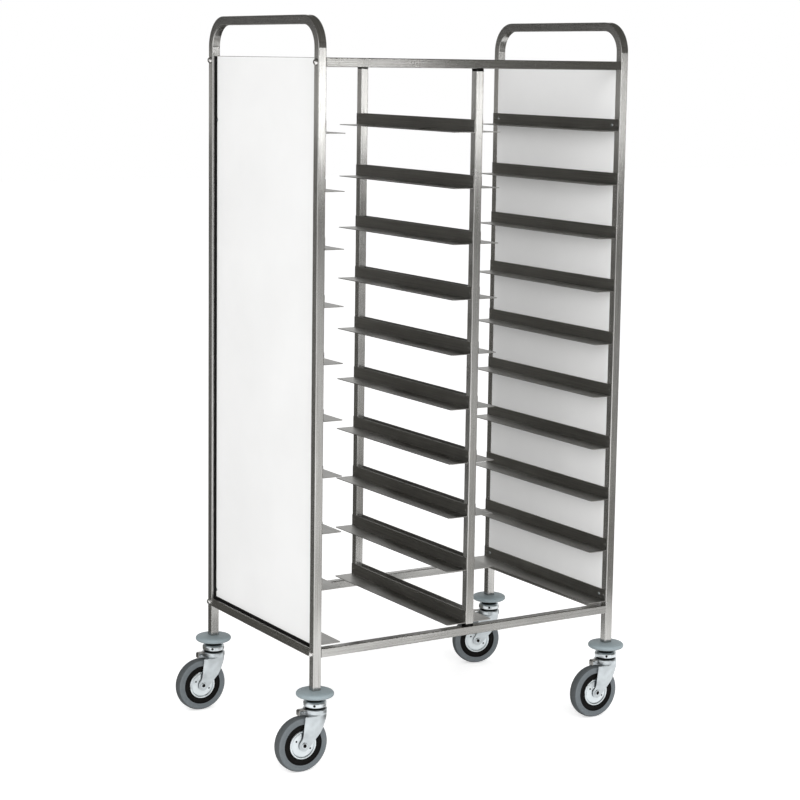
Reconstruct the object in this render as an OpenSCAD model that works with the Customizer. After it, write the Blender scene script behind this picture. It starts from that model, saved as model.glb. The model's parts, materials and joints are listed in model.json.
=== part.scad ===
// Two-bay tray trolley with ten levels: two square-tube side frames that bend over
// into push handles, bolted rails, centre posts, angle guides, side panels and
// four swivel casters. +X runs along the bays, +Y to the back, +Z up from the floor.

/* [Bays] */
// Clear width of one bay between its posts
bay_w = 380; // [340:1:460]
// Depth of the frame over its posts, front to back
frame_d = 525; // [440:1:660]
// Height from one tray level to the next
level_pitch = 124.5; // [90:0.5:150]
// Gap under the lowest guides, above the bottom rails
lowest_gap = 8.5; // [6:0.5:60]
// Height from the top edge of the highest guides to the top of the top rails
top_gap = 133; // [60:1:200]

/* [Tubes] */
// Outer size of the square tube
tube = 20; // [18:0.5:30]
// Wall of the square tube
tube_wall = 1.5; // [1:0.1:2]
// Outer corner radius of the square tube
tube_corner_r = 2; // [0.5:0.1:3]
// Height of the top of the handles above the top rails
handle_rise = 90; // [85:1:160]
// Centre-line radius of the handle bends
bend_r = 60; // [40:1:64]
// Length of the posts under the bottom rails
leg_drop = 73.5; // [60:0.5:140]

/* [Tray guides] */
// Height of the upright leg of a guide
guide_h = 28; // [20:0.5:40]
// Width of the flat leg that carries the trays
guide_w = 50; // [30:0.5:80]
// Sheet thickness of a guide
guide_t = 1.5; // [1:0.1:2]
// Outer radius of the fold of a guide
guide_fold_r = 2.5; // [2.2:0.1:5]
// Plan radius of the free corners of a guide
guide_corner_r = 4; // [1:0.5:10]
// Distance from the frame's front and back faces to the guide ends
guide_inset = 2; // [0:0.5:5]

/* [Panels] */
// Thickness of a side panel
panel_t = 10; // [4:0.5:14]
// Gap between a side panel and the posts beside it
panel_gap = 0.5; // [0.2:0.1:2]
// Distance from the top of the rails down to the top of the panels
panel_drop = 1; // [0:0.5:10]

/* [Fasteners] */
// Shank diameter of the bolts that hold the rails
bolt_d = 6; // [5:0.5:8]
// Head diameter of the bolts that hold the rails
bolt_head_d = 15; // [10:0.5:16]
// Head height of the bolts that hold the rails
bolt_head_h = 4; // [2:0.1:5]
// Length of the threaded plug in each rail end
end_plug_l = 24; // [16:1:40]
// Shank diameter of the rivets that hold the guides
rivet_d = 3.2; // [2.4:0.1:4]
// Head diameter of the rivets that hold the guides
rivet_head_d = 6.5; // [5.5:0.1:8]
// Shank diameter of the panel screws
screw_d = 4; // [3:0.1:5]
// Head diameter of the panel screws
screw_head_d = 8; // [7:0.1:10]
// Distance from a post to the panel screws beside it
screw_from_post = 7; // [6:0.5:40]

/* [Post caps] */
// Thickness of the plastic cap between a centre post and a rail
cap_t = 6; // [2:0.5:8]
// Length of the part of the cap that fills the post
cap_plug_l = 12; // [8:1:14]

/* [Caster wheels] */
// Wheel diameter over the tyre
wheel_d = 125; // [100:1:160]
// Width of the tyre
tyre_w = 26; // [20:0.5:36]
// Radius of the tyre's shoulders
shoulder_r = 6; // [2:0.5:9]
// Diameter of the seat of the tyre on the rim
rim_d = 93; // [84:1:96]
// Diameter of the pressed covers on the wheel
cover_d = 66; // [56:1:76]
// Diameter of the two small holes in each cover
cover_hole_d = 4; // [2:0.5:5]
// Diameter of the hub
hub_d = 24; // [18:0.5:30]
// Diameter of the axle
axle_d = 8; // [6:0.5:12]

/* [Caster forks] */
// Distance the axle trails behind the swivel axis
trail = 35; // [25:1:45]
// Space between the tyre and the crown of the fork
crown_space = 13; // [12:0.5:30]
// Sheet thickness of the fork
fork_t = 2.5; // [2:0.1:4]
// Gap between the tyre and each cheek of the fork
cheek_gap = 3; // [2:0.1:6]
// Diameter of the crown of the fork
crown_d = 54; // [50:1:70]
// Height of the skirt round the crown
skirt_h = 11; // [6:0.5:12]
// Height over which the crown narrows to the cheeks
flare_h = 16; // [10:0.5:20]
// Width of the tab behind the crown
tab_w = 13; // [8:0.5:20]
// Reach of the tab behind the crown
tab_l = 16.5; // [12:0.5:24]
// Height of the bent-down end of the tab
tab_h = 12; // [8:0.5:13]
// Radius of the fork's ends round the axle
fork_end_r = 13; // [10:0.5:15]
// How far the rear-right caster is turned from the others
rear_right_turn = 14; // [-180:1:180]

/* [Caster heads] */
// Diameter of the swivel head
head_d = 52; // [46:1:64]
// Height of the bright ring of the swivel head
head_h = 13; // [8:0.5:20]
// Height of the race between the crown and the swivel head
race_h = 4; // [2:0.5:6]
// Height of the neck between the swivel head and the bumper
neck_h = 8; // [4:0.5:16]
// Diameter of the kingpin
kingpin_d = 10; // [8:0.5:14]
// Length of the plug that holds the caster in its post
stem_plug_l = 45; // [25:1:48]
// Diameter of the bumper disc
bumper_d = 85; // [70:1:110]
// Height of the bumper disc
bumper_h = 14; // [12:0.5:24]
// Thickness of the bumper's rim
bumper_rim_t = 12; // [6:0.5:12]

/* [Hidden] */
$fn = 48;

// Clearances: a shaft in its hole, a piece beside the one it seats in, and moving faces.
run_fit = 0.05;
seat_fit = 0.2;
move_fit = 0.3;
// Extra length of a cut past the face it opens.
past = 1;
levels = 10;

// Heights, from the floor up.
wheel_r = wheel_d / 2;
crown_top = wheel_d + crown_space + fork_t;
head_z = crown_top + race_h;
neck_z = head_z + head_h;
bumper_z = neck_z + neck_h;
foot_z = bumper_z + bumper_h;
base_z = foot_z + leg_drop;
base_top = base_z + tube;
lowest_z = base_top + lowest_gap;
highest_top = lowest_z + (levels - 1) * level_pitch + guide_h;
rail_top = highest_top + top_gap;
rail_z = rail_top - tube;
cart_h = rail_top + handle_rise;
handle_z = cart_h - tube / 2;
bend_z = handle_z - bend_r;

// Plan: the resting cart's box is centred on the origin, trailing wheels included.
frame_w = 2 * bay_w + 3 * tube;
post_x = (frame_w - tube) / 2;
post_y = (frame_d - tube) / 2;
trail_reach = max(trail + wheel_r, bumper_d / 2);
frame_x = (trail_reach - bumper_d / 2) / 2;
left_x = frame_x - post_x;
right_x = frame_x + post_x;
bore = tube - 2 * tube_wall;
sunk_h = (screw_head_d - screw_d) / 2;

// Guides: each has its post face and the side its flat leg points to.
guide_faces = [
    [left_x + tube / 2, 1], [frame_x - tube / 2, -1],
    [frame_x + tube / 2, 1], [right_x - tube / 2, -1],
];
guide_l = frame_d - 2 * guide_inset;
screw_y = post_y - tube / 2 - screw_from_post;

// Fork and wheel.
cheek_y = tyre_w / 2 + cheek_gap;
fork_out = cheek_y + fork_t;
tab_x = crown_d / 2 + tab_l;
crown_fillet = 3;
cover_y = tyre_w / 2 - 1;
cover_t = 1;
hub_step = 3;
flange_t = 4;
flange_d = kingpin_d + 8;

module steel() color([0.62, 0.62, 0.60]) children();
module zinc() color([0.83, 0.86, 0.88]) children();
module black() color([0.09, 0.08, 0.08]) children();

// ---- Tube work ----

module tube_solid_2d() {
    flat = tube - 2 * tube_corner_r;
    square([tube, flat], center = true);
    square([flat, tube], center = true);
    for (x = [-1, 1], y = [-1, 1])
        translate([x * flat / 2, y * flat / 2]) circle(r = tube_corner_r);
}

module tube_2d() {
    difference() {
        tube_solid_2d();
        square(bore, center = true);
    }
}

module tube_z(length) linear_extrude(length) tube_2d();
module tube_x(length) rotate([90, 0, 90]) tube_z(length);
module tube_y(length) rotate([-90, 0, 0]) tube_z(length);

// A plug that fills a tube end, drawn upwards from the origin.
module plug(length)
    linear_extrude(length) square(bore - 2 * seat_fit, center = true);

// Height of a level's guides, 0 at the top.
function level_z(level) = lowest_z + (levels - 1 - level) * level_pitch;
function rivet_z(level) = level_z(level) + guide_h / 2;

// Holes for the rivets of every level, through the tube wall on one side.
module rivet_holes(face_x, y)
    for (level = [0:levels - 1])
        translate([face_x, y, rivet_z(level)])
            rotate([0, 90, 0])
                cylinder(h = 2 * (tube_wall + past), d = rivet_d + 2 * run_fit, center = true);

module side_tube(x, inner_side) {
    steel() difference() {
        union() {
            for (side = [-1, 1]) {
                translate([x, side * post_y, foot_z]) tube_z(bend_z - foot_z);
                translate([x, 0, 0]) mirror([0, side < 0 ? 1 : 0, 0])
                    translate([0, post_y - bend_r, bend_z]) rotate([90, 0, 90])
                        rotate_extrude(angle = 90, $fn = 96)
                            translate([bend_r, 0]) tube_2d();
            }
            translate([x, -(post_y - bend_r), handle_z]) tube_y(2 * (post_y - bend_r));
        }
        for (side = [-1, 1]) {
            rivet_holes(x + inner_side * tube / 2, side * post_y);
            for (z = [base_z, rail_z])
                translate([x, side * post_y, z + tube / 2]) rotate([0, 90, 0])
                    cylinder(h = tube + 2 * past, d = bolt_d + 2 * seat_fit, center = true);
        }
    }
}

module side_bottom_rail(x)
    steel() translate([x, -(post_y - tube / 2), base_z + tube / 2])
        tube_y(2 * post_y - tube);

// A long rail between the side frames, with a hole for the centre post's screw,
// countersunk in the face turned away from the post.
module long_rail(y, z, outer_side)
    steel() difference() {
        translate([left_x + tube / 2, y, z + tube / 2]) tube_x(2 * post_x - tube);
        translate([frame_x, y, z + tube / 2]) mirror([0, 0, outer_side > 0 ? 1 : 0]) {
            cylinder(h = tube + 2 * past, d = screw_d + 2 * seat_fit, center = true);
            translate([0, 0, -tube / 2 - past])
                cylinder(h = sunk_h + past, d1 = screw_head_d + 2 * (seat_fit + past),
                    d2 = screw_d + 2 * seat_fit);
        }
    }

module centre_post(y)
    steel() difference() {
        translate([frame_x, y, base_top + cap_t]) tube_z(rail_z - base_top - 2 * cap_t);
        for (side = [-1, 1]) rivet_holes(frame_x + side * tube / 2, y);
    }

// Puts a child at both ends of both centre posts, drawn as if on top of a bottom rail.
module at_post_ends()
    for (y = [-post_y, post_y]) {
        translate([frame_x, y, base_top]) children();
        translate([frame_x, y, rail_z]) mirror([0, 0, 1]) children();
    }

module centre_post_caps()
    black() at_post_ends() difference() {
        union() {
            linear_extrude(cap_t) tube_solid_2d();
            plug(cap_t + cap_plug_l);
        }
        translate([0, 0, -past])
            cylinder(h = cap_t + cap_plug_l + 2 * past, d = screw_d + 2 * run_fit);
    }

// ---- Fasteners ----

// A dome under z = 0, as a cap cut from a ball.
module dome(d, h) {
    ball_r = (pow(d / 2, 2) + h * h) / (2 * h);
    rotate_extrude() intersection() {
        translate([0, ball_r - h]) circle(r = ball_r, $fn = 120);
        translate([0, -h]) square([d / 2, h]);
    }
}

// A round-headed pin along +Z: the domed head sits under z = 0, the shank runs up.
module headed_pin(head_d, head_h, shank_d, shank_l) {
    dome(head_d, head_h);
    cylinder(h = shank_l, d = shank_d);
}

// Each screw's countersunk head lies flush in the far face of its rail.
module centre_post_screws()
    zinc() at_post_ends() translate([0, 0, -tube]) {
        cylinder(h = sunk_h, d1 = screw_head_d, d2 = screw_d);
        cylinder(h = tube + cap_t + cap_plug_l - 3, d = screw_d);
    }

// Puts a child on the outer face of each post at each rail end, with +Z pointing inwards.
module at_rail_ends()
    for (side = [-1, 1], y = [-post_y, post_y], z = [base_z, rail_z])
        translate([side < 0 ? left_x - tube / 2 : right_x + tube / 2, y, z + tube / 2])
            rotate([0, -90 * side, 0]) children();

module frame_bolts()
    zinc() at_rail_ends()
        headed_pin(bolt_head_d, bolt_head_h, bolt_d, tube + end_plug_l - 4);

module rail_end_plugs()
    black() at_rail_ends() translate([0, 0, tube]) difference() {
        plug(end_plug_l);
        translate([0, 0, -past]) cylinder(h = end_plug_l + 2 * past, d = bolt_d + 2 * run_fit);
    }

// One blind rivet: a flat dome on the guide and a set tail inside the tube.
module rivet() {
    grip = guide_t + tube_wall;
    headed_pin(rivet_head_d, 1.2, rivet_d, grip + 1, $fn = 24);
    translate([0, 0, grip]) cylinder(h = 1.8, d = rivet_d * 1.5, $fn = 24);
}

module guide_rivets()
    zinc() for (guide = guide_faces, y = [-post_y, post_y], level = [0:levels - 1])
        translate([guide[0] + guide[1] * guide_t, y, rivet_z(level)])
            rotate([0, -90 * guide[1], 0]) rivet();

// Puts a child at each panel screw, with +Z pointing outwards from the bay.
module at_panel_screws()
    for (guide = [guide_faces[0], guide_faces[3]], y = [-screw_y, screw_y],
         level = [0, levels - 1])
        translate([guide[0] + guide[1] * guide_t, y, rivet_z(level)])
            rotate([0, -90 * guide[1], 0]) children();

module panel_screws()
    zinc() at_panel_screws() {
        headed_pin(screw_head_d, 1.8, screw_d, guide_t + panel_t);
        translate([0, 0, guide_t + panel_t]) mirror([0, 0, 1])
            headed_pin(screw_head_d, 1.2, screw_d, panel_t / 2);
    }

// ---- Guides and panels ----

// Section of a guide: the upright leg at x = 0 and the flat leg towards +X.
module guide_2d() {
    inner_r = guide_fold_r - guide_t;
    translate([0, guide_fold_r]) square([guide_t, guide_h - guide_fold_r]);
    translate([guide_fold_r, 0]) square([guide_w - guide_fold_r, guide_t]);
    intersection() {
        translate([guide_fold_r, guide_fold_r]) difference() {
            circle(r = guide_fold_r);
            circle(r = inner_r);
        }
        square(guide_fold_r);
    }
}

// One guide along +Y from the origin, with its two free corners rounded.
module guide() {
    difference() {
        translate([0, guide_l, 0]) rotate([90, 0, 0]) linear_extrude(guide_l) guide_2d();
        for (end = [0, 1])
            translate([guide_w, end * guide_l, -past]) mirror([0, end, 0])
                linear_extrude(guide_t + 2 * past) difference() {
                    translate([-guide_corner_r, -past]) square(guide_corner_r + past);
                    translate([-guide_corner_r, guide_corner_r]) circle(r = guide_corner_r);
                }
    }
}

module tray_guides(level)
    color([0.34, 0.33, 0.31]) difference() {
        for (guide = guide_faces)
            translate([guide[0], -guide_l / 2, level_z(level)])
                mirror([guide[1] < 0 ? 1 : 0, 0, 0]) guide();
        for (guide = guide_faces, y = [-post_y, post_y])
            translate([guide[0], y, rivet_z(level)]) rotate([0, 90, 0])
                cylinder(h = 2 * (guide_t + past), d = rivet_d + 2 * run_fit, center = true);
        at_panel_screws()
            cylinder(h = 2 * (guide_t + past), d = screw_d + 2 * run_fit, center = true);
    }

// A side panel between the posts, flush with their inner faces.
module panel(guide)
    color([0.93, 0.93, 0.92]) difference() {
        translate([guide[0] - (guide[1] > 0 ? panel_t : 0), -(post_y - tube / 2 - panel_gap), base_top])
            cube([panel_t, 2 * (post_y - panel_gap) - tube, rail_top - panel_drop - base_top]);
        at_panel_screws()
            cylinder(h = guide_t + panel_t + past, d = screw_d + 2 * run_fit);
    }

// ---- Casters, drawn with the swivel axis on Z and the floor at z = 0 ----

// Moves a caster to its post; side_x and side_y are -1 or 1.
module at_post(side_x, side_y)
    translate([side_x < 0 ? left_x : right_x, side_y * post_y, 0]) children();

// Moves a turning piece to its post, with the rear-right caster turned.
module at_caster(side_x, side_y)
    at_post(side_x, side_y)
        rotate([0, 0, side_x > 0 && side_y > 0 ? -rear_right_turn : 0]) children();

// Moves a wheel piece drawn round Z to the axle.
module at_axle() translate([-trail, 0, wheel_r]) rotate([90, 0, 0]) children();

// Kingpin with its flange inside the crown, and the plug that fills the post's foot.
module stem()
    zinc() {
        translate([0, 0, crown_top - fork_t - flange_t])
            cylinder(h = flange_t - move_fit, d = flange_d);
        translate([0, 0, crown_top - fork_t - flange_t / 2])
            cylinder(h = foot_z - crown_top + fork_t + flange_t / 2, d = kingpin_d);
        translate([0, 0, foot_z]) plug(stem_plug_l);
    }

module bumper() {
    rim_r = bumper_rim_t / 2;
    color([0.55, 0.59, 0.62]) translate([0, 0, bumper_z]) rotate_extrude($fn = 96) {
        translate([bumper_d / 2 - rim_r, rim_r]) circle(r = rim_r);
        polygon([
            [kingpin_d / 2 + run_fit, 0], [bumper_d / 2 - rim_r, 0],
            [bumper_d / 2 - rim_r, bumper_rim_t], [tube * 0.78, bumper_h],
            [kingpin_d / 2 + run_fit, bumper_h],
        ]);
    }
}

// The fixed head: race, bright ring with its grease hole, and neck.
module head() {
    inner = kingpin_d / 2 + run_fit;
    edge = 2.5;
    zinc() difference() {
        rotate_extrude($fn = 96) {
            translate([inner, crown_top + move_fit]) square([head_d * 0.43 - inner, race_h]);
            translate([inner, head_z]) square([head_d / 2 - inner, head_h - edge]);
            translate([inner, head_z]) square([head_d / 2 - edge - inner, head_h]);
            translate([head_d / 2 - edge, neck_z - edge]) circle(r = edge);
            translate([inner, head_z]) square([head_d * 0.42 - inner, head_h + neck_h]);
        }
        rotate([0, 0, -120]) translate([head_d / 2 - 3, 0, head_z + head_h * 0.45])
            rotate([0, 90, 0]) cylinder(h = 3 + past, d = 3.4);
    }
}

// Point on the circle of radius r round c where the line from p touches it, on side turn.
function touch(p, c, r, turn) =
    let (d = p - c, reach = norm(d), a = atan2(d[1], d[0]) + turn * acos(r / reach))
    c + r * [cos(a), sin(a)];

// Side view of a cheek: under the crown at its top, round the axle at its foot.
module cheek_2d() {
    axle = [-trail, wheel_r];
    skirt_z = crown_top - skirt_h;
    crown_x = sqrt(pow((crown_d - fork_t / 2) / 2, 2) - pow(fork_out, 2));
    knee = [crown_x * 0.55, crown_top - crown_d * 0.85];
    translate(axle) circle(r = fork_end_r);
    polygon([
        [-crown_x, crown_top - fork_t / 2], [-crown_x, skirt_z + 1], [-crown_d * 0.58, skirt_z - 1],
        [-trail - 3, wheel_r], axle, touch(knee, axle, fork_end_r, -1), knee,
        [crown_x, skirt_z - 3], [crown_x, crown_top - fork_t / 2],
    ]);
}

// The round cup at the top of the fork, open below.
module crown() {
    crown_r = crown_d / 2;
    translate([0, 0, crown_top]) rotate_extrude($fn = 96) {
        translate([0, -fork_t]) square([crown_r - crown_fillet, fork_t]);
        translate([crown_r - fork_t, -skirt_h]) square([fork_t, skirt_h - crown_fillet]);
        intersection() {
            translate([crown_r - crown_fillet, -crown_fillet]) circle(r = crown_fillet);
            translate([crown_r - crown_fillet, -crown_fillet]) square(crown_fillet);
        }
    }
}

// The drawn-in shoulders that lead from the crown's skirt to the two cheeks.
module shoulders() {
    foot_r = fork_out - 0.6;
    translate([0, 0, crown_top - skirt_h - flare_h]) difference() {
        cylinder(h = flare_h + 1, r1 = foot_r, r2 = crown_d / 2 - 0.2, $fn = 96);
        translate([0, 0, -past])
            cylinder(h = flare_h + 1 + 2 * past, r1 = foot_r - fork_t, r2 = crown_d / 2 - fork_t, $fn = 96);
        translate([-crown_d, -cheek_y - fork_t / 2, -past])
            cube([2 * crown_d, 2 * cheek_y + fork_t, flare_h + 3 * past]);
    }
}

// The narrow tab behind the crown, bent down over the tyre.
module tab() {
    translate([-tab_x, -tab_w / 2, crown_top - fork_t]) cube([tab_l + fork_t, tab_w, fork_t]);
    translate([-tab_x, -tab_w / 2, crown_top - tab_h]) cube([fork_t, tab_w, tab_h - fork_t / 2]);
}

module fork()
    zinc() difference() {
        union() {
            crown();
            shoulders();
            tab();
            for (side = [-1, 1])
                translate([0, side * (cheek_y + fork_t / 2) + fork_t / 2, 0]) rotate([90, 0, 0])
                    linear_extrude(fork_t) cheek_2d();
        }
        translate([0, 0, crown_top - fork_t - past])
            cylinder(h = fork_t + 2 * past, d = kingpin_d + 2 * run_fit);
        translate([-trail, 0, wheel_r]) rotate([90, 0, 0])
            cylinder(h = 2 * (fork_out + past), d = axle_d + 2 * run_fit, center = true);
    }

// The axle bolt with its low round head at the front and its nut at the back.
module axle()
    zinc() at_axle() {
        difference() {
            union() {
                cylinder(h = 2 * fork_out + 1.5 * axle_d, d = axle_d, center = true);
                translate([0, 0, fork_out])
                    cylinder(h = axle_d * 0.75, d1 = axle_d * 1.9, d2 = axle_d * 1.5);
            }
            translate([0, 0, fork_out + axle_d * 0.35]) cylinder(h = axle_d, d = axle_d * 0.62, $fn = 6);
        }
        translate([0, 0, -fork_out - axle_d * 0.6]) difference() {
            cylinder(h = axle_d * 0.6, d = axle_d * 1.85, $fn = 6);
            translate([0, 0, -past]) cylinder(h = axle_d + 2 * past, d = axle_d + 2 * run_fit);
        }
    }

module rim() {
    hub_half = cheek_y - move_fit;
    bore_r = axle_d / 2 + run_fit;
    black() at_axle() rotate_extrude($fn = 96) {
        translate([bore_r, -hub_half]) square([hub_d / 2 - hub_step - bore_r, 2 * hub_half]);
        translate([bore_r, -cover_y]) square([hub_d / 2 - bore_r, 2 * cover_y]);
        translate([bore_r, -3]) square([rim_d / 2 - bore_r, 6]);
        translate([cover_d / 2 + move_fit, -cover_y])
            square([(rim_d - cover_d) / 2 - move_fit, 2 * cover_y]);
    }
}

// Two pressed discs that close the wheel beside the rim, each a dish round the hub
// with a rolled edge; their inner edges sit on the hub's shoulders.
module covers() {
    outer = cover_d / 2;
    inner = hub_d / 2 - hub_step + seat_fit;
    bead = 1.2;
    dish = 2;
    zinc() at_axle() for (side = [0, 1]) mirror([0, 0, side]) difference() {
        rotate_extrude($fn = 96) {
            translate([outer - bead, cover_y]) circle(r = bead);
            polygon([
                [outer - bead, cover_y - bead], [outer - bead, cover_y + bead],
                [outer - 5, cover_y - dish + cover_t], [hub_d / 2 + 5, cover_y - dish + cover_t],
                [hub_d / 2 + 1, cover_y + cover_t], [inner, cover_y + cover_t], [inner, cover_y],
                [hub_d / 2 + 1, cover_y], [hub_d / 2 + 5, cover_y - dish], [outer - 5, cover_y - dish],
            ]);
        }
        for (turn = [150, 330])
            rotate([0, 0, turn]) translate([(outer + hub_d / 2) / 2, 0, cover_y - dish - past])
                cylinder(h = cover_t + 2 * past, d = cover_hole_d);
    }
}

module tyre()
    color([0.50, 0.53, 0.55]) at_axle() rotate_extrude($fn = 120) {
        seat = rim_d / 2;
        translate([seat, -tyre_w / 2]) square([wheel_r - shoulder_r - seat, tyre_w]);
        translate([seat, -tyre_w / 2 + shoulder_r]) square([wheel_r - seat, tyre_w - 2 * shoulder_r]);
        for (side = [0, 1])
            mirror([0, side]) translate([wheel_r - shoulder_r, tyre_w / 2 - shoulder_r])
                intersection() {
                    circle(r = shoulder_r);
                    square(shoulder_r);
                }
    }

side_tube(left_x, 1);  // left_side_tube
side_tube(right_x, -1);  // right_side_tube
side_bottom_rail(left_x);  // left_bottom_rail
side_bottom_rail(right_x);  // right_bottom_rail
long_rail(-post_y, rail_z, 1);  // front_top_rail
long_rail(post_y, rail_z, 1);  // rear_top_rail
long_rail(-post_y, base_z, -1);  // front_bottom_rail
long_rail(post_y, base_z, -1);  // rear_bottom_rail
centre_post(-post_y);  // front_centre_post
centre_post(post_y);  // rear_centre_post
centre_post_caps();
centre_post_screws();
rail_end_plugs();
frame_bolts();
panel(guide_faces[0]);  // left_panel
panel(guide_faces[3]);  // right_panel
panel_screws();
guide_rivets();
tray_guides(0);  // tray_guides_01
tray_guides(1);  // tray_guides_02
tray_guides(2);  // tray_guides_03
tray_guides(3);  // tray_guides_04
tray_guides(4);  // tray_guides_05
tray_guides(5);  // tray_guides_06
tray_guides(6);  // tray_guides_07
tray_guides(7);  // tray_guides_08
tray_guides(8);  // tray_guides_09
tray_guides(9);  // tray_guides_10
at_post(-1, -1) stem();  // stem_front_left
at_post(-1, -1) bumper();  // bumper_front_left
at_post(-1, -1) head();  // head_front_left
at_caster(-1, -1) fork();  // fork_front_left
at_caster(-1, -1) axle();  // axle_front_left
at_caster(-1, -1) rim();  // rim_front_left
at_caster(-1, -1) covers();  // covers_front_left
at_caster(-1, -1) tyre();  // tyre_front_left
at_post(1, -1) stem();  // stem_front_right
at_post(1, -1) bumper();  // bumper_front_right
at_post(1, -1) head();  // head_front_right
at_caster(1, -1) fork();  // fork_front_right
at_caster(1, -1) axle();  // axle_front_right
at_caster(1, -1) rim();  // rim_front_right
at_caster(1, -1) covers();  // covers_front_right
at_caster(1, -1) tyre();  // tyre_front_right
at_post(-1, 1) stem();  // stem_rear_left
at_post(-1, 1) bumper();  // bumper_rear_left
at_post(-1, 1) head();  // head_rear_left
at_caster(-1, 1) fork();  // fork_rear_left
at_caster(-1, 1) axle();  // axle_rear_left
at_caster(-1, 1) rim();  // rim_rear_left
at_caster(-1, 1) covers();  // covers_rear_left
at_caster(-1, 1) tyre();  // tyre_rear_left
at_post(1, 1) stem();  // stem_rear_right
at_post(1, 1) bumper();  // bumper_rear_right
at_post(1, 1) head();  // head_rear_right
at_caster(1, 1) fork();  // fork_rear_right
at_caster(1, 1) axle();  // axle_rear_right
at_caster(1, 1) rim();  // rim_rear_right
at_caster(1, 1) covers();  // covers_rear_right
at_caster(1, 1) tyre();  // tyre_rear_right
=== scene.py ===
import json
import math

import bmesh
import bpy
from mathutils import Matrix, Vector


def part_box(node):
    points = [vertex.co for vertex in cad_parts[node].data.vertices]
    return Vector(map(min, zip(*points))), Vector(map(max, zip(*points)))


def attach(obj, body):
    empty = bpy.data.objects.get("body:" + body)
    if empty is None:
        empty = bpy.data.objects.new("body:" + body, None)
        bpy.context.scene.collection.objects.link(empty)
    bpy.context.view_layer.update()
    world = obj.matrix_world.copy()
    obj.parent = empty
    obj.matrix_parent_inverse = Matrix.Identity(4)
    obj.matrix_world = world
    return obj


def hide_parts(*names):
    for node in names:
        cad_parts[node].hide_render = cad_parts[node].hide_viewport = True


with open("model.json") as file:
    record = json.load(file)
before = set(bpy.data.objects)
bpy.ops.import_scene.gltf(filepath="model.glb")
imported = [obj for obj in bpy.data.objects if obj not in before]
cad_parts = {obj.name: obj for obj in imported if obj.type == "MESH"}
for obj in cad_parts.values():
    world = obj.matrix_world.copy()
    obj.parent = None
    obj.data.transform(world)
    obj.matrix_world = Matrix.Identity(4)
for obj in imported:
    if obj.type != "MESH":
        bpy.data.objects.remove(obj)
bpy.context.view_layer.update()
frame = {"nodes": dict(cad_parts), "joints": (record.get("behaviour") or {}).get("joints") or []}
nodes = frame["nodes"]
scene = bpy.context.scene
scene.view_settings.view_transform = "Standard"
MM = 0.001
CORNERS = ("front_left", "front_right", "rear_left", "rear_right")


# ---- Camera ----

def add_camera():
    """The camera fitted to the frame's edges in the photograph, with a small shift."""
    place = Vector((-2.5304, -4.1179, 1.5611))
    yaw, pitch, roll = (math.radians(angle) for angle in (31.464, 7.83, 0.808))
    ahead = Vector((math.sin(yaw), math.cos(yaw), 0))
    right = Vector((math.cos(yaw), -math.sin(yaw), 0))
    up = Vector((0, 0, 1))
    look = ahead * math.cos(pitch) - up * math.sin(pitch)
    top = up * math.cos(pitch) + ahead * math.sin(pitch)
    x_axis = right * math.cos(roll) + top * math.sin(roll)
    y_axis = -right * math.sin(roll) + top * math.cos(roll)
    camera = bpy.data.objects.new("camera", bpy.data.cameras.new("camera"))
    camera.matrix_world = Matrix((
        (x_axis.x, y_axis.x, -look.x, place.x),
        (x_axis.y, y_axis.y, -look.y, place.y),
        (x_axis.z, y_axis.z, -look.z, place.z),
        (0, 0, 0, 1),
    ))
    camera.data.sensor_width = 36
    camera.data.lens = 93.152
    camera.data.shift_y = -0.07
    camera.data.clip_end = 60
    scene.collection.objects.link(camera)
    scene.camera = camera


# ---- Shader tools ----

# How often the lines of brushed steel change across and along the brushing, per metre
LINES_ACROSS, LINES_ALONG = 900.0, 6.0
# Centres of the handle bends, in metres: distance from the middle of the depth, and height
BEND_Y, BEND_Z = 0.1925, 1.583
# The three factors of a noise that isn't stretched
EVEN = (1, 1, 1)


def material(name):
    mat = bpy.data.materials.new(name)
    mat.use_nodes = True
    tree = mat.node_tree
    return mat, tree, tree.nodes["Principled BSDF"]


def node(tree, kind, **values):
    made = tree.nodes.new(kind)
    for key, value in values.items():
        if key in made.inputs:
            made.inputs[key].default_value = value
        else:
            setattr(made, key, value)
    return made


def noise(tree, stretch, scale, detail=3.0, roughness=0.55):
    """Noise over the piece's own coordinates, in metres, stretched by three factors."""
    coords = node(tree, "ShaderNodeTexCoord")
    mapping = node(tree, "ShaderNodeMapping", Scale=stretch)
    tree.links.new(coords.outputs["Object"], mapping.inputs["Vector"])
    made = node(tree, "ShaderNodeTexNoise", Scale=scale, Detail=detail, Roughness=roughness)
    tree.links.new(mapping.outputs["Vector"], made.inputs["Vector"])
    return made.outputs["Fac"]


def spread(tree, source, low, high, out_low, out_high):
    """Maps the signal's low..high onto out_low..out_high."""
    made = node(tree, "ShaderNodeMapRange")
    sockets = ("From Min", "From Max", "To Min", "To Max")
    for key, value in zip(sockets, (low, high, out_low, out_high)):
        made.inputs[key].default_value = value
    tree.links.new(source, made.inputs["Value"])
    return made.outputs["Result"]


def ramp(tree, source, stops):
    made = node(tree, "ShaderNodeValToRGB")
    elements = made.color_ramp.elements
    while len(elements) < len(stops):
        elements.new(0.5)
    for element, (place, colour) in zip(elements, stops):
        element.position = place
        element.color = (*colour, 1)
    tree.links.new(source, made.inputs["Fac"])
    return made.outputs["Color"]


def blend_colour(tree, factor, first, second, mode="MIX"):
    made = node(tree, "ShaderNodeMix", data_type="RGBA", blend_type=mode)
    if isinstance(factor, (int, float)):
        made.inputs[0].default_value = factor
    else:
        tree.links.new(factor, made.inputs[0])
    for socket, value in ((made.inputs[6], first), (made.inputs[7], second)):
        if isinstance(value, tuple):
            socket.default_value = (*value, 1)
        else:
            tree.links.new(value, socket)
    return made.outputs[2]


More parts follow.
